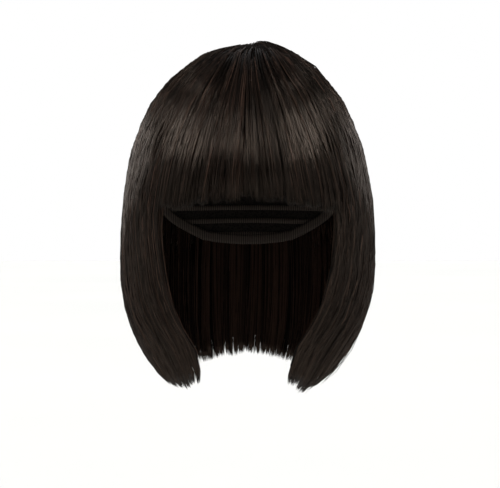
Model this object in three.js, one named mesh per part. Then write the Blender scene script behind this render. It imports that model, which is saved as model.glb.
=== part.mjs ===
// A chin-length bob wig: an elastic cap that carries a crown, a full fringe, two side curtains
// and a back curtain of straight hair. Each piece of hair is a hollow wall whose outside is laid
// in locks and whose lower edge is cut lock by lock.
// Millimetres, +Z up, and the face looks along -Y. The origin is the inside of the cap's crown,
// where the top of the head touches. Left and right are the wearer's, so left is +X.
import * as THREE from "three";

// Driving dimensions
const HAIR_WIDTH = 175; // over the hair at its widest, beside the cheeks
const FRONT_REACH = 109; // from the middle of a level to the front of the fringe
const BACK_REACH = 107; // from the middle of a level to the back of the hair
const CROWN_SETBACK = 18.5; // the whorl lies this far behind the middle of the head
const DOME_HEIGHT = 135.5; // from the top of the hair down to the cheekbones
const FALL_LENGTH = 106; // from the cheekbones down to the longest tips
const HAIR_THICKNESS = 10; // of the wall of hair, where the table says 1
const CAP_WALL = 1.5; // elastic net with its rows of weft
const SEAT_GAP = 0.9; // between the cap and the hair that lies on it
const PIECE_GAP = 0.6; // between one piece of hair and the next
const CROWN_RADIUS = 24; // of the piece that holds the whorl
const FRINGE_DROP = 100.5; // from the inside of the crown to the middle of the fringe's edge
const FRINGE_CORNER_DROP = 107.5; // and to its corners at the temples
const FRINGE_NOTCH = 3; // how far the cuts between the fringe's locks reach up
const TIP_NOTCH = 7; // the same for the side and back curtains
const TIP_LEAN = 3; // the tips hang this far to the right of where they would hang straight
const TIP_SPREAD = 4; // how much one lock is longer than the next
const HUMP_RISE = 2.8; // lifted hair just left of the whorl
const HUMP_SPREAD = 11; // how far it spreads
const HUMP_OFFSET = 11; // from the wig's middle to the top of the hump
const LOCK_RELIEF = 0.24; // depth of the valleys between locks, as a share of the wall of hair
const LOCK_UNEVENNESS = 0.3; // how much lower some locks lie than others, as a share of that
const LOCK_WIDTH_SPREAD = 0.5; // how much wider some locks are than others, as a share
const SIDE_SHARE = 0.5; // where a side curtain ends, from the face (0) to the middle of the back (1)
const FRINGE_LOCKS = 13;
const SIDE_LOCKS = 7;
const BACK_LOCKS = 13;
const CROWN_LOCKS = 11;

// Levels of the hair's outside from the whorl to the tips. Each column is a share: down goes from
// 0 to 1 over DOME_HEIGHT and on to 2 over FALL_LENGTH, wide is of half HAIR_WIDTH, front of
// FRONT_REACH, back of BACK_REACH, setback of CROWN_SETBACK forwards, and thick of HAIR_THICKNESS,
// to which ahead adds towards the face and behind towards the nape.
const LEVELS = [
  { down: 0, wide: 0, front: 0, back: 0, setback: 0, thick: 0.91, ahead: 0, behind: 0 },
  { down: 0.012, wide: 0.243, front: 0.23, back: 0.235, setback: 0.06, thick: 0.91, ahead: 0, behind: 0 },
  { down: 0.036, wide: 0.356, front: 0.4, back: 0.385, setback: 0.11, thick: 0.9, ahead: 0, behind: 0 },
  { down: 0.076, wide: 0.46, front: 0.53, back: 0.515, setback: 0.22, thick: 0.86, ahead: 0.02, behind: 0.02 },
  { down: 0.156, wide: 0.598, front: 0.675, back: 0.657, setback: 0.33, thick: 0.8, ahead: 0.06, behind: 0.08 },
  { down: 0.24, wide: 0.704, front: 0.77, back: 0.76, setback: 0.44, thick: 0.75, ahead: 0.1, behind: 0.12 },
  { down: 0.331, wide: 0.784, front: 0.84, back: 0.84, setback: 0.55, thick: 0.72, ahead: 0.14, behind: 0.18 },
  { down: 0.498, wide: 0.889, front: 0.937, back: 0.94, setback: 0.67, thick: 0.7, ahead: 0.18, behind: 0.24 },
  { down: 0.665, wide: 0.949, front: 0.99, back: 0.986, setback: 0.72, thick: 0.69, ahead: 0.2, behind: 0.3 },
  { down: 0.84, wide: 0.988, front: 0.99, back: 1, setback: 0.78, thick: 0.73, ahead: 0.18, behind: 0.38 },
  { down: 1, wide: 1, front: 0.93, back: 0.977, setback: 0.83, thick: 0.86, ahead: 0.1, behind: 0.45 },
  { down: 1.21, wide: 1, front: 0.84, back: 0.92, setback: 0.89, thick: 0.97, ahead: 0, behind: 0.5 },
  { down: 1.385, wide: 0.973, front: 0.745, back: 0.864, setback: 0.94, thick: 1, ahead: 0, behind: 0.45 },
  { down: 1.548, wide: 0.91, front: 0.66, back: 0.798, setback: 1, thick: 0.93, ahead: 0, behind: 0.27 },
  { down: 1.7, wide: 0.825, front: 0.575, back: 0.723, setback: 1.1, thick: 0.82, ahead: 0, behind: 0.1 },
  { down: 1.846, wide: 0.705, front: 0.5, back: 0.62, setback: 1.2, thick: 0.66, ahead: 0, behind: 0 },
  { down: 2, wide: 0.5, front: 0.42, back: 0.47, setback: 1.3, thick: 0.5, ahead: 0, behind: 0 },
];

// The border between the fringe and the side hair, and below the fringe the curtains' front edge,
// in degrees round the head from the middle of the face.
const FACE_BORDER = [
  { down: 0, degrees: 45 },
  { down: 0.84, degrees: 44.6 },
  { down: 1, degrees: 43 },
  { down: 1.21, degrees: 40 },
  { down: 1.385, degrees: 38 },
  { down: 1.548, degrees: 34.5 },
  { down: 1.7, degrees: 28 },
  { down: 1.846, degrees: 29 },
  { down: 2, degrees: 38 },
];

// Where the curtains are cut, as a share of FALL_LENGTH, from the face (0) to the middle of the back (1).
const CUT_LINE = [
  { along: 0, left: 0.92, right: 0.82 },
  { along: 0.09, left: 0.96, right: 0.94 },
  { along: 0.18, left: 1, right: 0.965 },
  { along: 0.35, left: 0.965, right: 0.955 },
  { along: 0.6, left: 0.89, right: 0.89 },
  { along: 1, left: 0.78, right: 0.78 },
];

// The cap's edge, by degrees round the head from the middle of the face: over the forehead, down
// before the ear, up over it and down to the nape. The drop is a share of DOME_HEIGHT.
const CAP_EDGE = [
  { degrees: 0, drop: 0.44 },
  { degrees: 40, drop: 0.52 },
  { degrees: 66, drop: 0.79 },
  { degrees: 80, drop: 0.77 },
  { degrees: 102, drop: 0.66 },
  { degrees: 128, drop: 0.88 },
  { degrees: 155, drop: 1.03 },
  { degrees: 180, drop: 1.06 },
];

const CROWN_TOP = CAP_WALL + SEAT_GAP + HAIR_THICKNESS * LEVELS[0].thick;
const LAST_LEVEL = LEVELS.length - 1;
const COLUMNS_PER_LOCK = 4;
const ROOT_LEVELS = 2; // the valleys between locks deepen over this many levels from the whorl

// A smooth line through the rows of a column. Past the whorl a width turns negative and the rest
// repeats, so that the top is round.
function readLevel(column, level) {
  const low = Math.min(Math.floor(level), LAST_LEVEL - 1);
  const t = level - low;
  const isWidth = column === "wide" || column === "front" || column === "back";
  const row = (i) => {
    if (i < 0) return isWidth ? -LEVELS[-i][column] : LEVELS[-i][column];
    if (i > LAST_LEVEL) return 2 * LEVELS[LAST_LEVEL][column] - LEVELS[2 * LAST_LEVEL - i][column];
    return LEVELS[i][column];
  };
  const [a, b, c, d] = [row(low - 1), row(low), row(low + 1), row(low + 2)];
  return b + 0.5 * t * (c - a + t * (2 * a - 5 * b + 4 * c - d + t * (3 * (b - c) + d - a)));
}

// Straight-line reading of a table whose rows are sorted by one column.
function readTable(table, key, at, column) {
  const next = table.findIndex((row) => row[key] >= at);
  if (next <= 0) return table[next === 0 ? 0 : table.length - 1][column];
  const [a, b] = [table[next - 1], table[next]];
  return THREE.MathUtils.lerp(a[column], b[column], (at - a[key]) / (b[key] - a[key]));
}

// The level at which a rising measure reaches a value, by halving.
function levelWhere(measure, value) {
  let [low, high] = [0, LAST_LEVEL];
  for (let step = 0; step < 40; step++) {
    const middle = (low + high) / 2;
    if (measure(middle) < value) low = middle;
    else high = middle;
  }
  return (low + high) / 2;
}

const halfWidth = (level) => (readLevel("wide", level) * HAIR_WIDTH) / 2;
const fallen = (level) => Math.max(0, readLevel("down", level) - 1);
const domed = (level) => Math.min(1, readLevel("down", level));
const dropBelowTop = (level) => domed(level) * DOME_HEIGHT + fallen(level) * FALL_LENGTH;
const levelAtDrop = (drop) => levelWhere(dropBelowTop, CROWN_TOP + drop);
const levelAtFall = (share) => levelWhere(dropBelowTop, DOME_HEIGHT + share * FALL_LENGTH);
const borderDegrees = (level) => readTable(FACE_BORDER, "down", readLevel("down", level), "degrees");
const edgeAngle = (level) => THREE.MathUtils.degToRad(borderDegrees(level));

// A point on the smooth outside of the hair. The angle runs round the head from the face to the left.
function outside(angle, level) {
  const reach =
    Math.cos(angle) > 0 ? readLevel("front", level) * FRONT_REACH : readLevel("back", level) * BACK_REACH;
  return new THREE.Vector3(
    halfWidth(level) * Math.sin(angle) - TIP_LEAN * fallen(level) ** 2,
    -readLevel("setback", level) * CROWN_SETBACK - reach * Math.cos(angle),
    CROWN_TOP - dropBelowTop(level),
  );
}

// The outward direction there, and the direction round the head.
function directions(angle, level) {
  const step = 1e-3;
  if (level < step) return { out: new THREE.Vector3(0, 0, 1), round: new THREE.Vector3() };
  const downward = outside(angle, Math.min(level + step, LAST_LEVEL)).sub(outside(angle, level - step));
  const round = outside(angle + step, level).sub(outside(angle - step, level));
  return { out: downward.cross(round).normalize(), round: round.normalize() };
}

// A point at a depth under the outside, moved sideways round the head by a shift.
function under(angle, level, depth, shift = 0) {
  const { out, round } = directions(angle, level);
  return outside(angle, level).addScaledVector(out, -depth).addScaledVector(round, shift);
}

// Thickness of the wall of hair. It is thinnest beside the head, and fills the hollow of the nape.
function thickness(angle, level) {
  const extra = Math.cos(angle) > 0 ? readLevel("ahead", level) : readLevel("behind", level);
  return HAIR_THICKNESS * (readLevel("thick", level) + extra * Math.cos(angle) ** 2);
}

// The lifted hair beside the whorl, added to the outside only.
function hump(point) {
  const away = (point.x - HUMP_OFFSET) ** 2 + point.y ** 2;
  return HUMP_RISE * Math.exp(-away / (2 * HUMP_SPREAD ** 2));
}

// The same share between 0 and 1 each time for the same lock and purpose.
function chance(lock, purpose) {
  const wave = Math.sin(lock * 12.9898 + purpose * 78.233) * 43758.5453;
  return wave - Math.floor(wave);
}

// Columns of a piece: each lock of uneven width has a valley, a flank, a ridge and a flank.
function lockColumns(from, to, locks, seed) {
  const narrowest = 1 - LOCK_WIDTH_SPREAD / 2;
  const widths = Array.from({ length: locks }, (_, k) => narrowest + LOCK_WIDTH_SPREAD * chance(k + seed, 1));
  const whole = widths.reduce((sum, width) => sum + width, 0);
  const columns = [];
  let start = from;
  widths.forEach((width, k) => {
    const wide = ((to - from) * width) / whole;
    for (let part = 0; part < COLUMNS_PER_LOCK; part++) {
      const phase = part / COLUMNS_PER_LOCK;
      columns.push({ run: start + wide * phase, ridge: Math.sin(Math.PI * phase), lock: k + seed });
    }
    start += wide;
  });
  columns.push({ run: to, ridge: 0, lock: seed + locks });
  return columns;
}

// A closed wall between two grids of points. A ring joins its last column to its first, and a pole
// joins its first row in one point.
function wall({ rows, columns, ring = false, pole = false, outer, inner }) {
  const positions = [];
  const wide = ring ? columns : columns + 1;
  for (const side of [outer, inner])
    for (let i = 0; i <= rows; i++) for (let j = 0; j < wide; j++) positions.push(...side(i, j).toArray());
  const vertex = (side, i, j) => (side * (rows + 1) + i) * wide + (pole && i === 0 ? 0 : j % wide);
  const faces = [];
  const quad = (a, b, c, d) => {
    if (a !== b && b !== c) faces.push(a, b, c);
    if (c !== d && d !== a) faces.push(a, c, d);
  };
  for (let i = 0; i < rows; i++)
    for (let j = 0; j < columns; j++) {
      quad(vertex(0, i, j), vertex(0, i + 1, j), vertex(0, i + 1, j + 1), vertex(0, i, j + 1));
      quad(vertex(1, i, j), vertex(1, i, j + 1), vertex(1, i + 1, j + 1), vertex(1, i + 1, j));
    }
  for (let j = 0; j < columns; j++) {
    quad(vertex(0, rows, j), vertex(1, rows, j), vertex(1, rows, j + 1), vertex(0, rows, j + 1));
    if (!pole) quad(vertex(0, 0, j), vertex(0, 0, j + 1), vertex(1, 0, j + 1), vertex(1, 0, j));
  }
  for (let i = 0; i < rows && !ring; i++) {
    quad(vertex(0, i, 0), vertex(1, i, 0), vertex(1, i + 1, 0), vertex(0, i + 1, 0));
    quad(vertex(0, i, columns), vertex(0, i + 1, columns), vertex(1, i + 1, columns), vertex(1, i, columns));
  }
  const geometry = new THREE.BufferGeometry();
  geometry.setAttribute("position", new THREE.Float32BufferAttribute(positions, 3));
  geometry.setIndex(faces);
  geometry.computeVertexNormals();
  return geometry;
}

// A wall of hair laid in locks. angleOf turns a column's run into an angle, and endOf gives the
// level at which that column is cut.
function lockedHair({ columns, rows, start, angleOf, endOf }) {
  const last = columns.length - 1;
  const place = (i, j, depthOf) => {
    const column = columns[j];
    const level = start + ((endOf(column) - start) * i) / rows;
    const angle = angleOf(column.run, level);
    const inset = PIECE_GAP / 2;
    const shift = j === 0 ? inset : j === last ? -inset : 0;
    return under(angle, level, depthOf(column, angle, level), shift);
  };
  const relief = (column, angle, level) => {
    const rooted = THREE.MathUtils.smoothstep(level, start, start + ROOT_LEVELS);
    const height = 1 - LOCK_UNEVENNESS + LOCK_UNEVENNESS * chance(column.lock, 2);
    const sunk = 1 - column.ridge * height;
    return LOCK_RELIEF * thickness(angle, level) * sunk * rooted;
  };
  const outer = (i, j) => {
    const point = place(i, j, relief);
    point.z += hump(point);
    return point;
  };
  const inner = (i, j) => place(i, j, (column, angle, level) => thickness(angle, level));
  return wall({ rows, columns: last, outer, inner });
}

const crownEnd = levelWhere(halfWidth, CROWN_RADIUS);
const hairStart = levelWhere(halfWidth, CROWN_RADIUS + PIECE_GAP);

// The whorl, where all hair starts: a low round cushion of short locks that turn as they leave it.
function crown() {
  const rows = 4;
  const columns = lockColumns(0, 2 * Math.PI, CROWN_LOCKS, 40);
  const level = (i) => (crownEnd * i) / rows;
  const outer = (i, j) => {
    const grown = Math.sin((Math.PI * i) / rows) / 2;
    const valley = LOCK_RELIEF * HAIR_THICKNESS * (1 - columns[j].ridge) * grown;
    const point = under(columns[j].run, level(i), valley);
    point.z += hump(point);
    return point;
  };
  const inner = (i, j) => under(columns[j].run, level(i), thickness(columns[j].run, level(i)));
  return wall({ rows, columns: columns.length - 1, ring: true, pole: true, outer, inner });
}

// The full fringe, from temple to temple, its edge a little higher in the middle.
function fringe() {
  const endOf = ({ run, ridge, lock }) => {
    const drop = THREE.MathUtils.lerp(FRINGE_DROP, FRINGE_CORNER_DROP, run ** 2);
    const longer = (FRINGE_NOTCH / 2) * (chance(lock, 3) - 0.5) * ridge;
    return levelAtDrop(drop - FRINGE_NOTCH * (1 - ridge) + longer);
  };
  return lockedHair({
    columns: lockColumns(-1, 1, FRINGE_LOCKS, 0),
    rows: 10,
    start: hairStart,
    angleOf: (run, level) => run * edgeAngle(level),
    endOf,
  });
}

// A curtain of hair. Its run goes from the left edge of the face (0) round the back (1) to the
// right edge of the face (2).
function curtain(from, to, locks, seed) {
  const endOf = ({ run, ridge, lock }) => {
    const share = readTable(CUT_LINE, "along", run <= 1 ? run : 2 - run, run <= 1 ? "left" : "right");
    const shorter = TIP_NOTCH * (1 - ridge) + TIP_SPREAD * chance(lock, 3) * ridge;
    return levelAtFall(share - shorter / FALL_LENGTH);
  };
  return lockedHair({
    columns: lockColumns(from, to, locks, seed),
    rows: 14,
    start: hairStart,
    angleOf: (run, level) => edgeAngle(level) + run * (Math.PI - edgeAngle(level)),
    endOf,
  });
}

// The cap: a thin elastic dome inside the hair, open where the head goes in.
function cap() {
  const rows = 11;
  const columns = 40;
  const angle = (j) => (2 * Math.PI * j) / columns;
  const level = (i, j) => {
    const degrees = (360 * Math.min(j, columns - j)) / columns;
    const drop = readTable(CAP_EDGE, "degrees", degrees, "drop") * DOME_HEIGHT;
    return (levelWhere(dropBelowTop, drop) * i) / rows;
  };
  const depth = (i, j) => thickness(angle(j), level(i, j)) + SEAT_GAP;
  const outer = (i, j) => under(angle(j), level(i, j), depth(i, j));
  const inner = (i, j) => under(angle(j), level(i, j), depth(i, j) + CAP_WALL);
  return wall({ rows, columns, ring: true, pole: true, outer, inner });
}

const hairMaterial = new THREE.MeshStandardMaterial({ color: 0x2b221c, roughness: 0.42, metalness: 0 });
const netMaterial = new THREE.MeshStandardMaterial({ color: 0x1c1815, roughness: 0.9, metalness: 0 });

function piece(name, geometry, material) {
  const mesh = new THREE.Mesh(geometry, material);
  mesh.name = name;
  return mesh;
}

const wig = new THREE.Group();
wig.add(
  piece("wig_cap", cap(), netMaterial),
  piece("crown_hair", crown(), hairMaterial),
  piece("fringe", fringe(), hairMaterial),
  piece("side_hair_left", curtain(0, SIDE_SHARE, SIDE_LOCKS, 60), hairMaterial),
  piece("back_hair", curtain(SIDE_SHARE, 2 - SIDE_SHARE, BACK_LOCKS, 80), hairMaterial),
  piece("side_hair_right", curtain(2 - SIDE_SHARE, 2, SIDE_LOCKS, 100), hairMaterial),
);

export default wig;
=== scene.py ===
import math
from dataclasses import dataclass

import bmesh
import bpy
import numpy as np
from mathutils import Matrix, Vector

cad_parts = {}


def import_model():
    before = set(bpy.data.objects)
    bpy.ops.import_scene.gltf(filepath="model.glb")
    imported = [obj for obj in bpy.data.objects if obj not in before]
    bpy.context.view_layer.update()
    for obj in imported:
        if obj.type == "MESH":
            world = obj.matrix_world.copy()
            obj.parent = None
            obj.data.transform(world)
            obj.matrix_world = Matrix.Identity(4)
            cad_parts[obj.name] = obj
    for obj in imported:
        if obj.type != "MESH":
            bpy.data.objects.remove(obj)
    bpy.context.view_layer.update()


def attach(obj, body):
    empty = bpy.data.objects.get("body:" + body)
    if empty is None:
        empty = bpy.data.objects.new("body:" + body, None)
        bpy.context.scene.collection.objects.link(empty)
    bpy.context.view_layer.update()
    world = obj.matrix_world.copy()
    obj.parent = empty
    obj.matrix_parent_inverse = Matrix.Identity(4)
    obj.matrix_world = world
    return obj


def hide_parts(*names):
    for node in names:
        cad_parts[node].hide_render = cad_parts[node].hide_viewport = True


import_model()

MM = 0.001

# Driving dimensions, the same as the solids'
HAIR_WIDTH = 175 * MM
FRONT_REACH = 109 * MM
BACK_REACH = 107 * MM
CROWN_SETBACK = 18.5 * MM
DOME_HEIGHT = 135.5 * MM
FALL_LENGTH = 106 * MM
HAIR_THICKNESS = 10 * MM
CAP_WALL = 1.5 * MM
SEAT_GAP = 0.9 * MM
FRINGE_DROP = 100.5 * MM
FRINGE_CORNER_DROP = 107.5 * MM
TIP_LEAN = 3 * MM
HUMP_RISE = 2.8 * MM
HUMP_SPREAD = 11 * MM
HUMP_OFFSET = 11 * MM
SIDE_SHARE = 0.5

# The curtains thin out towards their front edge, as the solids' even wall doesn't: by how much at
# the edge, and from how far back.
EDGE_THINNING = 0.55
THINNED_SHARE = 0.3

# Levels of the hair's outside from the whorl to the tips, as in the solids: down, wide, front,
# back, setback, thick, ahead and behind, all shares of the dimensions above.
COLUMNS = ("down", "wide", "front", "back", "setback", "thick", "ahead", "behind")
LEVELS = np.array([
    (0, 0, 0, 0, 0, 0.91, 0, 0),
    (0.012, 0.243, 0.23, 0.235, 0.06, 0.91, 0, 0),
    (0.036, 0.356, 0.4, 0.385, 0.11, 0.9, 0, 0),
    (0.076, 0.46, 0.53, 0.515, 0.22, 0.86, 0.02, 0.02),
    (0.156, 0.598, 0.675, 0.657, 0.33, 0.8, 0.06, 0.08),
    (0.24, 0.704, 0.77, 0.76, 0.44, 0.75, 0.1, 0.12),
    (0.331, 0.784, 0.84, 0.84, 0.55, 0.72, 0.14, 0.18),
    (0.498, 0.889, 0.937, 0.94, 0.67, 0.7, 0.18, 0.24),
    (0.665, 0.949, 0.99, 0.986, 0.72, 0.69, 0.2, 0.3),
    (0.84, 0.988, 0.99, 1, 0.78, 0.73, 0.18, 0.38),
    (1, 1, 0.93, 0.977, 0.83, 0.86, 0.1, 0.45),
    (1.21, 1, 0.84, 0.92, 0.89, 0.97, 0, 0.5),
    (1.385, 0.973, 0.745, 0.864, 0.94, 1, 0, 0.45),
    (1.548, 0.91, 0.66, 0.798, 1, 0.93, 0, 0.27),
    (1.7, 0.825, 0.575, 0.723, 1.1, 0.82, 0, 0.1),
    (1.846, 0.705, 0.5, 0.62, 1.2, 0.66, 0, 0),
    (2, 0.5, 0.42, 0.47, 1.3, 0.5, 0, 0),
])
LAST_LEVEL = len(LEVELS) - 1

# The curtains' front edge: how far down, and degrees round the head from the middle of the face.
FACE_BORDER = np.array([
    (0, 45), (0.84, 44.6), (1, 43), (1.21, 40), (1.385, 38), (1.548, 34.5), (1.7, 28), (1.846, 29),
    (2, 38),
])

# Where the curtains are cut: from the face (0) to the middle of the back (1), left and right.
CUT_LINE = np.array([
    (0, 0.93, 0.92), (0.09, 0.97, 0.97), (0.18, 0.985, 0.96), (0.35, 0.95, 0.94), (0.6, 0.89, 0.89),
    (1, 0.78, 0.78),
])

# The cap's edge: degrees round the head from the middle of the face, and drop.
CAP_EDGE = np.array([
    (0, 0.44), (40, 0.52), (66, 0.79), (80, 0.77), (102, 0.66), (128, 0.88), (155, 1.03), (180, 1.06),
])

CROWN_TOP = CAP_WALL + SEAT_GAP + HAIR_THICKNESS * 0.91
NECK_LEVEL = 0.02  # directions are read no nearer to the whorl than this

# The hair itself
FIBRE_RADIUS = 0.24 * MM  # real fibres are 0.08 mm across, drawn as coarse as they need to show
FIBRE_SIDES = 3
WISP_FIBRES = 8
ROOT_DEPTH = 0.4  # how much deeper than its layer a fibre is rooted, as a share of the thickness
RISE_LEVELS = 1.5  # it rises from its root to its own layer over this many levels
BLUNT_FROM = 0.965  # where it starts to narrow to its cut tip, as a share of its length
SPLAY = 0.46  # how far the front hair is combed apart on its way down, in radians
CROWN_SETTLING = 1.6 * MM  # how much flatter the hair lies at the crown on the wearer's right
UNDER_DEPTH = 0.42  # where the under-hair lies, as a share of the hair's thickness
UNDER_SHORTER = 13 * MM  # how far above the cut it ends

# How unevenly the hair lies: the spread of each value, or the most that it can be
LOCK_DRIFT = 1.6 * MM
WISP_DRIFT = 1.5 * MM
LOCK_SINKING = 0.07  # how deep a lock sinks, as a share of the hair's thickness
LOCK_SHORTER_MM = 1.6  # how much shorter than the cut a lock is
LOCK_TONE, WISP_TONE, FIBRE_TONE = 0.07, 0.13, 0.15
LOOSE_SPACING_MM = 9  # how widely loose fibres stray from their wisp
LOOSE_LIFT = 2.2  # how many times as far as the others they stand off their layer


def smooth(low, high, value):
    share = np.clip((value - low) / (high - low), 0, 1)
    return share * share * (3 - 2 * share)


def unit(vectors):
    lengths = np.linalg.norm(vectors, axis=-1, keepdims=True)
    return vectors / np.maximum(lengths, 1e-12)


def read_level(column, level):
    """A smooth line through the rows of a column, mirrored at the whorl so that the top is round."""
    values = LEVELS[:, COLUMNS.index(column)]
    before = -values[1] if column in ("wide", "front", "back") else values[1]
    values = np.concatenate(([before], values, [2 * values[-1] - values[-2]]))
    low = np.clip(np.floor(level), 0, LAST_LEVEL - 1).astype(int)
    t = level - low
    a, b, c, d = (values[low + k] for k in range(4))
    return b + 0.5 * t * (c - a + t * (2 * a - 5 * b + 4 * c - d + t * (3 * (b - c) + d - a)))


def drop_at(level):
    down = read_level("down", level)
    return np.minimum(down, 1) * DOME_HEIGHT + np.maximum(down - 1, 0) * FALL_LENGTH


STEP_COUNT = 2000
WIDEST_STEP = 1250  # the hair reaches its full width at about this step
STEPS = np.linspace(0, LAST_LEVEL, STEP_COUNT)
STEP_DROPS = drop_at(STEPS)
STEP_WIDTHS = np.maximum.accumulate(read_level("wide", STEPS))


def level_at_drop(drop):
    return np.interp(drop, STEP_DROPS, STEPS)


def edge_angle(level):
    return np.radians(np.interp(read_level("down", level), FACE_BORDER[:, 0], FACE_BORDER[:, 1]))


def outside(angle, level):
    """A point on the smooth outside of the hair. The angle turns from the face to the left."""
    ahead = read_level("front", level) * FRONT_REACH
    behind = read_level("back", level) * BACK_REACH
    reach = np.where(np.cos(angle) > 0, ahead, behind)
    fallen = np.maximum(read_level("down", level) - 1, 0)
    x = read_level("wide", level) * HAIR_WIDTH / 2 * np.sin(angle) - TIP_LEAN * fallen**2
    y = -read_level("setback", level) * CROWN_SETBACK - reach * np.cos(angle)
    return np.stack([x, y, CROWN_TOP - drop_at(level)], axis=-1)


def outward(angle, level):
    level = np.maximum(level, NECK_LEVEL)
    step = 1e-3
    downward = outside(angle, level + step) - outside(angle, level - step)
    round_head = outside(angle + step, level) - outside(angle - step, level)
    return unit(np.cross(downward, round_head))


def thickness(angle, level):
    extra = np.where(np.cos(angle) > 0, read_level("ahead", level), read_level("behind", level))
    whole = HAIR_THICKNESS * (read_level("thick", level) + extra * np.cos(angle) ** 2)
    turned = np.abs((angle + np.pi) % (2 * np.pi) - np.pi)
    along = (turned - edge_angle(level)) / (np.pi - edge_angle(level))
    fringe_end = level_at_drop(CROWN_TOP + FRINGE_CORNER_DROP)
    thinned = (1 - smooth(0, THINNED_SHARE, along)) * smooth(fringe_end - 1, fringe_end + 1, level)
    return whole * (1 - EDGE_THINNING * thinned)


def under(angle, level, depth):
    """A point at a depth under the outside, which rises over the lifted hair beside the whorl."""
    points = outside(angle, level) - outward(angle, level) * depth[..., None]
    away = (points[..., 0] - HUMP_OFFSET) ** 2 + points[..., 1] ** 2
    outer = 1 - np.clip(depth / thickness(angle, level), 0, 1)
    points[..., 2] += HUMP_RISE * outer * np.exp(-away / (2 * HUMP_SPREAD**2))
    return points


def splayed(angle, level):
    """Hair in front starts nearer the middle than it ends, so that it leans out as it falls."""
    leaning = np.where(np.cos(angle) > 0, np.sin(2 * angle) / 2, 0)
    return angle - SPLAY * (1 - smooth(3.5, 9.5, level)) * leaning


def settled(angle, level):
    """How much deeper the fibres lie at the crown, most on the wearer's right."""
    at_crown = smooth(0, 1.5, level) * (1 - smooth(2.5, 6, level))
    return CROWN_SETTLING * at_crown * (1 - np.sin(angle)) / 2


@dataclass(frozen=True)
class Region:
    """A piece of hair. Its run goes round the head, and arc is the length of one unit of run."""

    node: str
    run_from: float
    run_to: float
    arc: float
    locks: int
    last_root: float  # no fibre is rooted below this level
    lift: float  # how far a fibre stands off its layer at most, unless it is loose
    seed: int
    overlap: float = 1.5 * MM  # how far its hair reaches past its ends
    lock_longer_mm: float = 1.5  # how much longer than the cut a lock is at most
    lock_share: float = 1.0  # how much of the locks' uneven cut is kept
    valley: float = 1.8 * MM  # how much shorter the hair is between two locks
    wisp_short: float = 1.0 * MM  # how much shorter than its lock a wisp is, in the mean
    fibre_short: float = 0.9 * MM  # and a fibre than its wisp
    tip_pinch: float = 0.35  # how much narrower a wisp gets at its tip
    gather: float = 0.2  # how far a wisp leans to the middle of its lock

    def angle(self, run, level):
        if self.node == "fringe":
            return run * edge_angle(level)
        return edge_angle(level) + run * (np.pi - edge_angle(level))

    def cut(self, run):
        """How far below the top of the hair the hair is cut."""
        if self.node == "fringe":
            share = np.clip(run, -1, 1) ** 2
            return CROWN_TOP + FRINGE_DROP + (FRINGE_CORNER_DROP - FRINGE_DROP) * share
        along = np.clip(np.where(run <= 1, run, 2 - run), 0, 1)
        left = np.interp(along, CUT_LINE[:, 0], CUT_LINE[:, 1])
        right = np.interp(along, CUT_LINE[:, 0], CUT_LINE[:, 2])
        return DOME_HEIGHT + np.where(run <= 1, left, right) * FALL_LENGTH


FRINGE = Region(
    "fringe", -1.0, 1.0, 78 * MM, 22, 6.3, 0.3 * MM, 11,
    lock_longer_mm=2.6, valley=2.2 * MM, gather=0.12,
)
BACK = Region(
    "back_hair", SIDE_SHARE, 2 - SIDE_SHARE, 215 * MM, 26, 9.5, 1.5 * MM, 31,
    overlap=5 * MM, lock_share=0.6, valley=0.9 * MM, wisp_short=0.4 * MM, fibre_short=0.6 * MM,
    tip_pinch=0.1, gather=0.12,
)
SIDE_LEFT = Region("side_hair_left", 0.0, SIDE_SHARE, 215 * MM, 14, 8.6, 1.0 * MM, 21)
SIDE_RIGHT = Region("side_hair_right", 2 - SIDE_SHARE, 2.0, 215 * MM, 14, 8.6, 0.5 * MM, 41)


def uneven_borders(first, last, count, rng):
    widths = rng.uniform(0.6, 1.4, count)
    return first + (last - first) * np.concatenate(([0], np.cumsum(widths))) / widths.sum()


def each(values):
    """A value a wisp, repeated for each of its fibres."""
    return np.repeat(values, WISP_FIBRES)[:, None]


def own(values):
    """A value a fibre, as a column beside the points of its path."""
    return values[:, None]


@dataclass(frozen=True)
class Wisps:
    """How the wisps of a piece lie, in arrays of one value a wisp."""

    run: np.ndarray
    root: np.ndarray
    depth: np.ndarray
    short: np.ndarray
    drift: np.ndarray
    gather: np.ndarray
    phase: np.ndarray
    tone: np.ndarray
    lock_centre: np.ndarray
    lock_phase: np.ndarray


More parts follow.
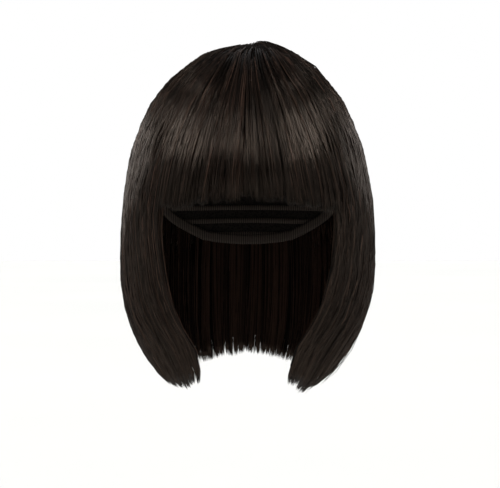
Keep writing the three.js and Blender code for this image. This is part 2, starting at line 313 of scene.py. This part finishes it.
def set_out_wisps(region, count, layers, rng):
    """Wisps at the depths that the layers give, each with the drift, tone and cut of its lock.

    Roots are spread so that each width of the head starts as many new fibres as it needs.
    """
    overlap = region.overlap / region.arc
    spread = region.run_to - region.run_from + 2 * overlap
    run = region.run_from - overlap + spread * ((rng.permutation(count) + rng.random(count)) / count)
    band = rng.choice(len(layers), size=count, p=[share for share, _, _ in layers])
    shallow = np.array([low for _, low, _ in layers])[band]
    deep = np.array([high for _, _, high in layers])[band]
    depth = shallow + (deep - shallow) * rng.random(count)
    width_share = 0.1 + 0.9 * rng.random(count)
    root = np.interp(width_share, STEP_WIDTHS[:WIDEST_STEP], STEPS[:WIDEST_STEP])
    inner = depth > 0.5
    root[inner] = region.last_root * (0.25 + 0.75 * rng.random(inner.sum()))

    borders = uneven_borders(region.run_from, region.run_to, region.locks, rng)
    lock = np.clip(np.searchsorted(borders, run) - 1, 0, region.locks - 1)
    centre = (borders[lock] + borders[lock + 1]) / 2
    half = (borders[lock + 1] - borders[lock]) / 2
    lock_drift = rng.normal(0, LOCK_DRIFT, region.locks)[lock] / region.arc
    lock_depth = rng.uniform(0, LOCK_SINKING, region.locks)[lock]
    lock_tone = rng.normal(0, LOCK_TONE, region.locks)[lock]
    lock_phase = rng.uniform(0, 2 * np.pi, region.locks)[lock]
    phase = rng.uniform(0, 2 * np.pi, count)
    lock_short = rng.uniform(-region.lock_longer_mm, LOCK_SHORTER_MM, region.locks)[lock] * MM
    lock_short = lock_short * region.lock_share
    to_border = np.minimum(run - region.run_from, region.run_to - run) * region.arc
    if region.node != "fringe":
        lock_short = lock_short * smooth(0, 8 * MM, to_border)
    valley = region.valley * np.clip(np.abs(run - centre) / half, 0, 1) ** 2
    valley = valley * smooth(0, 5 * MM, to_border)
    wisp_short = rng.exponential(region.wisp_short, count)
    wisp_drift = rng.normal(0, WISP_DRIFT, count) / region.arc
    end_lock = (lock == 0) | (lock == region.locks - 1)
    return Wisps(
        run=run,
        root=np.minimum(root, region.last_root),
        depth=depth + lock_depth * (1 - depth),
        short=lock_short + valley + wisp_short,
        drift=lock_drift + wisp_drift,
        gather=np.where(end_lock, 0.0, region.gather),
        phase=phase,
        tone=lock_tone,
        lock_centre=centre,
        lock_phase=lock_phase,
    )


def combed_angles(region, wisp, level, t, pinch, loose, rng):
    """Directions round the head: fibres keep to their wisp, which leans to its lock at the tips."""
    count, wisps = len(level), len(wisp.run)
    spacing = LOOSE_SPACING_MM * np.ones(wisps) if loose else rng.uniform(0.5, 1.8, wisps)
    offset = own(rng.normal(0, 1, count)) * each(spacing * MM) / region.arc
    to_centre = each(wisp.gather) * smooth(0.55, 1, t) * (each(wisp.lock_centre) - each(wisp.run))
    phase = own(rng.uniform(0, 2 * np.pi, count))
    wave = own(rng.uniform(0.08, 0.3, count)) * MM / region.arc * np.sin(9 * t + phase)
    run = each(wisp.run) + offset * pinch + to_centre + each(wisp.drift) * t**1.5 + wave
    if region.node == "side_hair_left":
        run = np.abs(run)  # fibres that stray over the face's border are turned back
    if region.node == "side_hair_right":
        run = 2 - np.abs(2 - run)
    swirl = 0.5 * np.exp(-level / 0.9)
    return splayed(region.angle(run, level), level) + swirl


def rippled(wisp, level, root, t):
    """How far the locks and wisps wave in and out, least at the root, the tip and low down."""
    of_locks = 0.45 * np.sin(0.9 * level + each(wisp.lock_phase))
    of_wisps = 0.4 * np.sin(1.7 * level + each(wisp.phase))
    straight = 1 - 0.6 * smooth(8, 10, level)
    from_root = smooth(0, 1, level - root)
    to_tip = 1 - smooth(0.85, 1, t)
    return (of_locks + of_wisps) * MM * from_root * to_tip * straight


def lay_fibres(region, wisps, points, layers, rng, loose=False):
    """Paths, outward directions, radii and tones of a piece's fibres.

    Each wisp is a few fibres that pinch together, and t runs from their roots to their tips.
    Loose fibres leave their wisps and stand a little way out of the hair.
    """
    wisp = set_out_wisps(region, wisps, layers, rng)
    count = wisps * WISP_FIBRES
    t = np.append(np.linspace(0, BLUNT_FROM, points - 1), 1.0)[None, :]
    short = each(wisp.short) + own(rng.exponential(region.fibre_short, count))
    root = np.maximum(each(wisp.root) + own(rng.uniform(-0.35, 0.35, count)), 0.15)
    end = level_at_drop(region.cut(each(wisp.run)) - short)
    level = root + (end - root) * t
    pinch = 1 - 0.25 * smooth(0.1, 0.6, t) - region.tip_pinch * smooth(0.72, 1, t)
    angle = combed_angles(region, wisp, level, t, pinch, loose, rng)

    layer = each(wisp.depth) + own(rng.normal(0, 0.035, count)) * pinch
    layer = np.clip(layer, 0 if loose else -0.03, 0.95)
    risen = smooth(0, RISE_LEVELS, level - root)
    rooted = np.minimum(layer + ROOT_DEPTH, 0.97)
    depth = (layer * risen + rooted * (1 - risen)) * thickness(angle, level)
    lift = LOOSE_LIFT * region.lift if loose else region.lift
    lifted = smooth(0.3, 0.55, t) * (1 if loose else 1 - smooth(0.68, 0.9, t))
    depth = depth - lift * own(rng.random(count) ** 2) * lifted * (1 - layer)
    depth = depth + rippled(wisp, level, root, t)
    paths = under(angle, level, depth + settled(angle, level))

    body = own(rng.uniform(0.8, 1.25, count)) * FIBRE_RADIUS * (0.6 if loose else 1)
    taper = (0.55 + 0.45 * smooth(0, 0.12, t)) * (1 - 0.35 * smooth(0.85, 1, t))
    wisp_tones = wisp.tone + rng.normal(0, WISP_TONE, wisps)
    tones = 0.5 + each(wisp_tones) + own(rng.normal(0, FIBRE_TONE, count))
    # Fibres of the inner layers are drawn lighter: painted light in the shade inside the hair, not a
    # different dye
    tones = np.clip(tones + 0.35 * (layer[:, -1:] > 0.6), 0, 1)[:, 0]
    return paths, outward(angle, level), body * taper, tones


def fibre_mesh(name, paths, outs, radii, tones):
    """Pointed fibres joined in one mesh, each with its own cell of the OFBake map."""
    count, points, _ = paths.shape
    rings, sides = points - 1, FIBRE_SIDES
    tangents = np.gradient(paths, axis=1)
    across = unit(np.cross(outs, tangents))
    outs = unit(np.cross(tangents, across))
    turns = 2 * np.pi * np.arange(sides)[:, None] / sides
    offsets = outs[:, :rings, None] * np.cos(turns) + across[:, :rings, None] * np.sin(turns)
    body = paths[:, :rings, None] + offsets * radii[:, :rings, None, None]
    vertices = np.concatenate([body.reshape(count, rings * sides, 3), paths[:, -1:]], axis=1)
    per_fibre = rings * sides + 1

    ring = np.repeat(np.arange(rings - 1), sides)
    side = np.tile(np.arange(sides), rings - 1)
    after = (side + 1) % sides
    here, below = ring * sides, (ring + 1) * sides
    quads = np.stack([here + side, below + side, below + after, here + after], axis=-1)
    last = (rings - 1) * sides
    around = np.arange(sides)
    point = np.full(sides, per_fibre - 1)
    tips = np.stack([last + around, point, last + (around + 1) % sides], axis=-1)
    root = around[None, :]
    starts = (np.arange(count) * per_fibre)[:, None, None]
    faces = []
    for pattern in (quads, tips, root):
        faces.extend((starts + pattern).reshape(-1, pattern.shape[1]).tolist())

    mesh = bpy.data.meshes.new(name)
    mesh.from_pydata(vertices.reshape(-1, 3).tolist(), [], faces)
    mesh.polygons.foreach_set("use_smooth", np.ones(len(mesh.polygons), dtype=bool))

    u, v = side / sides, ring / rings
    du, dv = 1 / sides, 1 / rings
    quad_uv = np.stack([
        np.stack([u, v], -1), np.stack([u, v + dv], -1), np.stack([u + du, v + dv], -1),
        np.stack([u + du, v], -1),
    ], axis=1)
    tip_u = around / sides
    tip_v = np.full(sides, 1 - dv)
    tip_uv = np.stack([
        np.stack([tip_u, tip_v], -1), np.stack([tip_u + du / 2, tip_v + dv], -1),
        np.stack([tip_u + du, tip_v], -1),
    ], axis=1)
    root_uv = np.array([[(0.0, -0.06), (0.5, -0.12), (1.0, -0.06)]])
    cells = math.ceil(math.sqrt(count))
    number = np.arange(count)
    corner = np.stack([number % cells, number // cells], axis=-1)[:, None, None, :]
    margin, filled = 0.14, 0.74  # of a cell
    layer = mesh.uv_layers.new(name="OFBake")
    places = [
        ((corner + margin + filled * pattern[None]) / cells).reshape(-1)
        for pattern in (quad_uv, tip_uv, root_uv)
    ]
    layer.data.foreach_set("uv", np.concatenate(places).astype(np.float32))

    along = np.concatenate([np.repeat(np.arange(rings) / rings, sides), [1.0]])
    for label, values in (("tone", np.repeat(tones, per_fibre)), ("along", np.tile(along, count))):
        attribute = mesh.attributes.new(label, "FLOAT", "POINT")
        attribute.data.foreach_set("value", values.astype(np.float32))
    return mesh


def place(name, mesh, material, node):
    piece = bpy.data.objects.new(name, mesh)
    bpy.context.collection.objects.link(piece)
    mesh.materials.append(material)
    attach(piece, "root")
    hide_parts(node)


# Materials


def colour(code):
    """An sRGB hex value as linear red, green, blue and alpha."""
    shares = [int(code[i : i + 2], 16) / 255 for i in (1, 3, 5)]
    linear = [s / 12.92 if s <= 0.04045 else ((s + 0.055) / 1.055) ** 2.4 for s in shares]
    return (*linear, 1)


def add(tree, kind, sockets=None, **settings):
    """Adds a node. A socket takes a value, or another node's output, which is linked to it."""
    node = tree.nodes.new(kind)
    for name, value in settings.items():
        setattr(node, name, value)
    for name, value in (sockets or {}).items():
        if isinstance(value, bpy.types.NodeSocket):
            tree.links.new(value, node.inputs[name])
        else:
            node.inputs[name].default_value = value
    return node


def new_material(name):
    material = bpy.data.materials.new(name)
    material.use_nodes = True
    material.node_tree.nodes.clear()
    return material, material.node_tree


def finish_material(tree, sockets):
    shader = add(tree, "ShaderNodeBsdfPrincipled", sockets)
    add(tree, "ShaderNodeOutputMaterial", {"Surface": shader.outputs[0]})


def blend_colours(tree, factor, first, second):
    mix = add(tree, "ShaderNodeMix", {0: factor, 6: first, 7: second}, data_type="RGBA")
    return mix.outputs[2]


def modacrylic_fibre(name, gloss, smoothest, roughest, tips):
    """Drawn modacrylic fibre: smooth, with a soft sheen that runs in streaks along the wisps.

    Tips gives the colour that the fibre blends into, from where, and how far; on the fringe it is
    near-black, a painted shade of its lower part.
    """
    tip_colour, tips_from, tip_share = tips
    material, tree = new_material(name)
    tone = add(tree, "ShaderNodeAttribute", attribute_name="tone").outputs["Fac"]
    along = add(tree, "ShaderNodeAttribute", attribute_name="along").outputs["Fac"]
    dyed = add(tree, "ShaderNodeValToRGB", {"Fac": tone})
    ramp = dyed.color_ramp.elements
    ramp[0].position, ramp[0].color = 0.1, colour("#070605")
    ramp[1].position, ramp[1].color = 0.95, colour("#382922")
    for position, code in ((0.5, "#100c0a"), (0.8, "#241b16")):
        ramp.new(position).color = colour(code)
    near_tip = add(tree, "ShaderNodeMapRange", {
        "Value": along, "From Min": tips_from, "To Max": tip_share,
    })
    brown = blend_colours(tree, near_tip.outputs[0], dyed.outputs["Color"], colour(tip_colour))
    place_on = add(tree, "ShaderNodeTexCoord").outputs["Object"]
    haze_scale = 60.0  # patches about 17 mm across
    haze = add(tree, "ShaderNodeTexNoise", {"Vector": place_on, "Scale": haze_scale, "Detail": 2.0})
    drawn = add(tree, "ShaderNodeMapRange", {
        "Value": haze.outputs[0], "To Min": smoothest, "To Max": roughest,
    })
    matt_root = add(tree, "ShaderNodeMapRange", {
        "Value": along, "From Max": 0.16, "To Min": 1.0, "To Max": 0.0,
    })
    roughness = add(tree, "ShaderNodeMix", {0: matt_root.outputs[0], 2: drawn.outputs[0], 3: 0.7})
    finish_material(tree, {
        "Base Color": brown,
        "Roughness": roughness.outputs[0],
        "IOR": 1.52,
        "Specular IOR Level": gloss,
        "Specular Tint": colour("#e6cdb8"),
    })
    return material


def packed_fibre():
    """The same fibre packed into a layer: matt, and darker as painted shade from the fibres over it,
    with fine lines that follow the fall.
    """
    material, tree = new_material("modacrylic_fibre_packed")
    flow = add(tree, "ShaderNodeUVMap", uv_map="hair_flow").outputs[0]
    lines_across, lines_along = 260.0, 3.0  # over a whole layer
    lines = add(tree, "ShaderNodeMapping", {
        "Vector": flow, "Scale": (lines_across, lines_along, 1.0),
    }).outputs[0]
    noise = add(tree, "ShaderNodeTexNoise", {"Vector": lines, "Scale": 1.0, "Detail": 3.0}).outputs[0]
    # Darker than the loose fibres: painted shade of the layer lying under them
    brown = blend_colours(tree, noise, colour("#070605"), colour("#13100e"))
    bump = add(tree, "ShaderNodeBump", {"Height": noise, "Strength": 0.6, "Distance": 0.0004})
    roughness = add(tree, "ShaderNodeMapRange", {"Value": noise, "To Min": 0.5, "To Max": 0.7})
    finish_material(tree, {
        "Base Color": brown,
        "Roughness": roughness.outputs[0],
        "IOR": 1.52,
        "Specular IOR Level": 0.02,
        "Normal": bump.outputs[0],
    })
    return material


def studio_floor():
    """Matt painted board: pale, with the faint unevenness of a rolled coat."""
    material, tree = new_material("matt_painted_board")
    place_on = add(tree, "ShaderNodeTexCoord").outputs["Object"]
    noise = add(tree, "ShaderNodeTexNoise", {"Vector": place_on, "Scale": 0.8}).outputs[0]
    pale = blend_colours(tree, noise, colour("#d6d6d4"), colour("#dbdbd9"))
    finish_material(tree, {"Base Color": pale, "Roughness": 0.95, "Specular IOR Level": 0.1})
    return material


def elastic_net():
    """Knitted elastic net: matt threads about 0.4 mm thick round holes about 1.5 mm apart, near-black
    as such nets are and darker still as painted shade behind the fringe.
    """
    material, tree = new_material("knitted_elastic_net")
    place_on = add(tree, "ShaderNodeTexCoord").outputs["Object"]
    holes = add(tree, "ShaderNodeTexVoronoi", {"Vector": place_on, "Scale": 1 / (1.5 * MM)})
    threads = add(tree, "ShaderNodeMapRange", {
        "Value": holes.outputs["Distance"], "From Min": 0.25, "From Max": 0.55,
    }).outputs[0]
    # Near-black net, darkened further as painted shade of the cap behind the fringe
    black = blend_colours(tree, threads, colour("#0a0807"), colour("#1f1a17"))
    bump = add(tree, "ShaderNodeBump", {"Height": threads, "Strength": 0.5, "Distance": 0.0003})
    roughness = add(tree, "ShaderNodeMapRange", {"Value": threads, "To Min": 0.95, "To Max": 0.8})
    finish_material(tree, {
        "Base Color": black,
        "Roughness": roughness.outputs[0],
        "Specular IOR Level": 0.12,
        "Sheen Weight": 0.05,
        "Normal": bump.outputs[0],
    })
    return material


def woven_elastic():
    """Woven elastic tape and stitched weft: matt, with ribs about 0.8 mm apart."""
    material, tree = new_material("woven_elastic_tape")
    place_on = add(tree, "ShaderNodeTexCoord").outputs["Object"]
    ribs = add(tree, "ShaderNodeTexWave", {
        "Vector": place_on, "Scale": 1 / (0.8 * MM) / 6.28, "Distortion": 1.5,
    }).outputs["Fac"]
    black = blend_colours(tree, ribs, colour("#1d1815"), colour("#4a4038"))
    bump = add(tree, "ShaderNodeBump", {"Height": ribs, "Strength": 0.4, "Distance": 0.0002})
    roughness = add(tree, "ShaderNodeMapRange", {"Value": ribs, "To Min": 0.9, "To Max": 0.75})
    finish_material(tree, {
        "Base Color": black,
        "Roughness": roughness.outputs[0],
        "Specular IOR Level": 0.3,
        "Normal": bump.outputs[0],
    })
    return material


# Pieces


def add_sheet(bm, across_count, along_count, surface):
    """Adds a sheet that is shaped by a function of two shares from 0 to 1, with a map of its fall."""
    flow_map = bm.loops.layers.uv.get("hair_flow") or bm.loops.layers.uv.new("hair_flow")
    grid = bmesh.ops.create_grid(bm, x_segments=across_count, y_segments=along_count, size=0.5)["verts"]
    for vertex in grid:
        for loop in vertex.link_loops:
            loop[flow_map].uv = (vertex.co.x + 0.5, 0.5 - vertex.co.y)
    across = np.array([vertex.co.x + 0.5 for vertex in grid])
    along = np.array([0.5 - vertex.co.y for vertex in grid])
    for vertex, point in zip(grid, surface(across, along)):
        vertex.co = point


def walled_mesh(bm, name, wall):
    """Closes the seams of the sheets, gives them their wall and hands over their mesh."""
    bmesh.ops.remove_doubles(bm, verts=bm.verts[:], dist=0.001 * MM)
    bmesh.ops.recalc_face_normals(bm, faces=bm.faces[:])
    bmesh.ops.solidify(bm, geom=bm.faces[:], thickness=wall)
    bmesh.ops.recalc_face_normals(bm, faces=bm.faces[:])
    for face in bm.faces:
        face.smooth = True
    mesh = bpy.data.meshes.new(name)
    bm.to_mesh(mesh)
    bm.free()
    return mesh


def sheet_mesh(name, across_count, along_count, surface, wall):
    bm = bmesh.new()
    add_sheet(bm, across_count, along_count, surface)
    return walled_mesh(bm, name, wall)


def under_hair(region, name, material):
    """The layer that shows between the fibres. It ends above the cut, so fibres make the edge."""
    first_level = 0.9

    def surface(across, along):
        run = region.run_from + (region.run_to - region.run_from) * across
        end = level_at_drop(region.cut(run) - UNDER_SHORTER)
        level = first_level + (end - first_level) * along
        angle = region.angle(run, level)
        return under(angle, level, UNDER_DEPTH * thickness(angle, level))

    across_count = round((region.run_to - region.run_from) * region.arc / (2.5 * MM))
    mesh = sheet_mesh(name, across_count, 48, surface, 1.0 * MM)
    place(name, mesh, material, region.node)


def dome(name, end_level_at, depth_at, count, wall):
    """A closed-topped dome: a square sheet whose rings of squares become rings round the whorl."""

    def surface(across, along):
        x, y = 2 * across - 1, 2 * along - 1
        ring = np.maximum(np.abs(x), np.abs(y))
        angle = np.arctan2(x, -y)
        level = ring * end_level_at(angle)
        return under(angle, level, depth_at(angle, level))

    return sheet_mesh(name, count, count, surface, wall)


def cap_end_level(angle):
    """The cap's edge, its corners rounded by a mean over a few degrees to each side."""
    drops = []
    for turn in np.radians(np.linspace(-9, 9, 7)):
        degrees = np.degrees(np.abs((angle + turn + np.pi) % (2 * np.pi) - np.pi))
        drops.append(np.interp(degrees, CAP_EDGE[:, 0], CAP_EDGE[:, 1]))
    return level_at_drop(np.mean(drops, axis=0) * DOME_HEIGHT)


def cap_depth(angle, level):
    return thickness(angle, level) + SEAT_GAP + 0.2 * MM


def cap_pieces(net, tape):
    """The net dome, the rows of weft sewn to its inside, and the tape that binds its edge."""
    dome_mesh = dome("cap_net", cap_end_level, cap_depth, 72, 0.9 * MM)
    place("cap_net", dome_mesh, net, "wig_cap")
    place("cap_wefts", weft_rows(), tape, "wig_cap")
    place("cap_binding", binding(), tape, "wig_cap")


def cap_line(level_at, inset):
    """A line round the inside of the cap: its points and outward directions at each angle."""

    def line(angle):
        level = level_at(angle)
        return under(angle, level, cap_depth(angle, level) + inset), outward(angle, level)

    return line


def add_band(bm, line, first, count, width, bulge):
    """Adds a flat band along a line, from an angle to its mirror image, thickest in its middle."""
    step = 1e-3

    def surface(across, along):
        angle = first + (2 * np.pi - 2 * first) * across
        points, outs = line(angle)
        sideways = np.cross(outs, unit(line(angle + step)[0] - line(angle - step)[0]))
        raised = bulge * (1 - (2 * along - 1) ** 2)
        return points + sideways * (width * (along - 0.5))[:, None] - outs * raised[:, None]

    add_sheet(bm, count, 4, surface)


def weft_rows():
    """Rows of weft every 11 mm down the inside of the cap, open at the face where the cap is short."""
    edge_levels, end_gap = 0.25, 0.05  # kept clear below a row, and at its ends in radians
    last_first = 2.9  # a row that would start further back than this is too short to sew
    bm = bmesh.new()
    angle = np.linspace(0, np.pi, 61)
    for drop in np.arange(0.1, 1.0, 11 * MM / DOME_HEIGHT):
        level = level_at_drop(drop * DOME_HEIGHT)
        short = angle[cap_end_level(angle) < level + edge_levels]
        first = short.max() + end_gap if short.size else 0
        if first < last_first:
            line = cap_line(lambda at, level=level: np.full(at.shape, level), 1.0 * MM)
            add_band(bm, line, first, 110, 3.2 * MM, 0.4 * MM)
    return walled_mesh(bm, "cap_wefts", 0.6 * MM)


def binding():
    """Tape folded over the cap's edge, about 7 mm wide."""
    bm = bmesh.new()
    line = cap_line(lambda angle: cap_end_level(angle) - 0.12, 1.0 * MM)
    add_band(bm, line, 0, 180, 6.8 * MM, 0.3 * MM)
    return walled_mesh(bm, "cap_binding", 1.5 * MM)


def crown_fibres(count, rng):
    """Short fibres that turn as they leave the whorl and lie down on the long ones."""
    points = 9
    t = np.linspace(0, 1, points)[None, :]
    start = own(rng.uniform(0, 2 * np.pi, count))
    root = own(0.75 * rng.random(count) ** 1.4)
    level = root + (own(rng.uniform(1.8, 4.0, count)) - root) * t**1.3
    angle = start + 1.1 * np.exp(-level / 0.5) + own(rng.normal(0, 0.05, count)) * t
    layer = own(rng.uniform(0, 0.25, count))
    risen = smooth(0, 0.3, level - root)
    share = layer * risen + 0.4 * (1 - risen) + 0.2 * smooth(0.5, 1, t)
    paths = under(angle, level, share * thickness(angle, level) + settled(angle, level))
    lifted = np.exp(-((paths[..., 0] - HUMP_OFFSET) ** 2 + paths[..., 1] ** 2) / (2 * (8 * MM) ** 2))
    paths[..., 2] += 1.6 * MM * own(rng.random(count)) * lifted
    body = own(rng.uniform(0.75, 1.15, count)) * FIBRE_RADIUS
    taper = (0.6 + 0.4 * smooth(0, 0.2, t)) * (1 - 0.8 * smooth(0.6, 1, t))
    tones = np.clip(rng.normal(0.42, 0.2, count), 0, 1)
    return paths, outward(angle, level), body * taper, tones


def hair(region, label, wisps, points, layers, material, loose=False):
    rng = np.random.default_rng([region.seed, len(label)])
    name = f"{region.node}_{label}"
    mesh = fibre_mesh(name, *lay_fibres(region, wisps, points, layers, rng, loose))
    place(name, mesh, material, region.node)


def crown_hair(material, under_material):
    rng = np.random.default_rng(51)

    def depth(angle, level):
        return UNDER_DEPTH * thickness(angle, level)

    mesh = dome("crown_under", lambda angle: np.full(angle.shape, 1.15), depth, 24, 1.0 * MM)
    place("crown_under", mesh, under_material, "crown_hair")
    count = 1600
    fibres = crown_fibres(count, rng)
    place("crown_fibres", fibre_mesh("crown_fibres", *fibres), material, "crown_hair")


def build_wig():
    packed = packed_fibre()
    pale_tips = ("#2e2620", 0.75, 0.5)
    # The fringe's tips blend far into near-black: painted shade on the fringe's lower part, which hangs
    # below the light
    painted_shade_tips = ("#050403", 0.45, 0.85)
    plain_tips = ("#16120f", 0.7, 0.35)
    fibre = modacrylic_fibre("modacrylic_fibre_dark_brown", 0.26, 0.17, 0.25, pale_tips)
    fringe_fibre = modacrylic_fibre("modacrylic_fibre_painted_shade_tips", 0.26, 0.17, 0.25, painted_shade_tips)
    crossed_fibre = modacrylic_fibre(
        "modacrylic_fibre_crossed_at_the_whorl", 0.05, 0.5, 0.65, plain_tips,
    )
    cap_pieces(elastic_net(), woven_elastic())
    crown_hair(crossed_fibre, packed)
    # Layers of fibres: the share of the wisps, and from and to what depth, in the hair's thickness
    full = ((0.6, -0.04, 0.26), (0.18, 0.26, 0.55), (0.22, 0.72, 0.93))
    top = ((0.85, -0.04, 0.26), (0.15, 0.26, 0.55))
    inside = ((1.0, 0.7, 0.95),)
    for region in (FRINGE, SIDE_LEFT, BACK, SIDE_RIGHT):
        under_hair(region, f"{region.node}_under", packed)
    hair(FRINGE, "fibres", 520, 9, full, fringe_fibre)
    hair(SIDE_LEFT, "fibres", 350, 11, full, fibre)
    hair(SIDE_RIGHT, "fibres", 350, 11, full, fibre)
    hair(BACK, "top_fibres", 410, 11, top, fibre)
    hair(BACK, "inside_fibres", 180, 11, inside, fibre)
    skin = ((1.0, 0.0, 0.05),)
    for region, wisps in ((FRINGE, 2), (SIDE_LEFT, 6), (BACK, 7), (SIDE_RIGHT, 6)):
        hair(region, "loose_fibres", wisps, 15, skin, fibre, loose=True)


# Studio

FLOOR_HEIGHT = -0.36
CAMERA_PLACE = (0.0016, -1.6, -0.1271)
SIGHT_WIDTH = 0.35  # what the picture's width takes in at the middle of the wig


def studio():
    bm = bmesh.new()
    bmesh.ops.create_grid(bm, x_segments=1, y_segments=1, size=30)
    bmesh.ops.translate(bm, verts=bm.verts, vec=(0, 0, FLOOR_HEIGHT))
    mesh = bpy.data.meshes.new("floor")
    bm.to_mesh(mesh)
    bm.free()
    floor = bpy.data.objects.new("floor", mesh)
    bpy.context.collection.objects.link(floor)
    mesh.materials.append(studio_floor())

    sun("left_softbox", 2.6, 28, 58, 39)
    sun("right_softbox", 2.4, 28, -62, 38)
    sun("top_softbox", 0.4, 12, 0, 43)
    sun("front_fill", 0.42, 24, 0, 0)
    sun("left_rim", 1.05, 26, 102, 19)
    sun("right_rim", 1.15, 26, -102, 19)
    world()


def sun(name, strength, spread, azimuth, elevation):
    """A lamp that shines from an azimuth, with 0 in front, and an elevation, in degrees."""
    lamp = bpy.data.lights.new(name, "SUN")
    lamp.energy = strength
    lamp.angle = math.radians(spread)
    holder = bpy.data.objects.new(name, lamp)
    bpy.context.collection.objects.link(holder)
    a, e = math.radians(azimuth), math.radians(elevation)
    towards = Vector((math.sin(a) * math.cos(e), -math.cos(a) * math.cos(e), math.sin(e)))
    holder.rotation_euler = towards.to_track_quat("Z", "Y").to_euler()


def world():
    """A white surround behind the wig, and a dimmer one that lights it, darkest overhead."""
    surround = bpy.data.worlds.new("surround")
    surround.use_nodes = True
    tree = surround.node_tree
    tree.nodes.clear()
    seen = add(tree, "ShaderNodeBackground", {"Color": (1, 1, 1, 1), "Strength": 1.0})
    direction = add(tree, "ShaderNodeTexCoord").outputs["Generated"]
    height = add(tree, "ShaderNodeSeparateXYZ", {"Vector": direction}).outputs["Z"]
    strength = add(tree, "ShaderNodeMapRange", {
        "Value": height, "From Min": 0.0, "From Max": 0.9, "To Min": 0.48, "To Max": 0.06,
    })
    light = add(tree, "ShaderNodeBackground", {
        "Color": (0.97, 0.98, 1, 1), "Strength": strength.outputs[0],
    })
    ray = add(tree, "ShaderNodeLightPath")
    both = add(tree, "ShaderNodeMixShader", {
        0: ray.outputs["Is Camera Ray"], 1: light.outputs[0], 2: seen.outputs[0],
    })
    add(tree, "ShaderNodeOutputWorld", {"Surface": both.outputs[0]})
    bpy.context.scene.world = surround
    bpy.context.scene.view_settings.view_transform = "Standard"


def camera():
    eye = bpy.data.cameras.new("camera")
    eye.sensor_width = 36
    eye.lens = 36 * abs(CAMERA_PLACE[1]) / SIGHT_WIDTH
    holder = bpy.data.objects.new("camera", eye)
    bpy.context.collection.objects.link(holder)
    holder.location = CAMERA_PLACE
    holder.rotation_euler = (math.pi / 2, 0, 0)
    bpy.context.scene.camera = holder


camera()
build_wig()
studio()
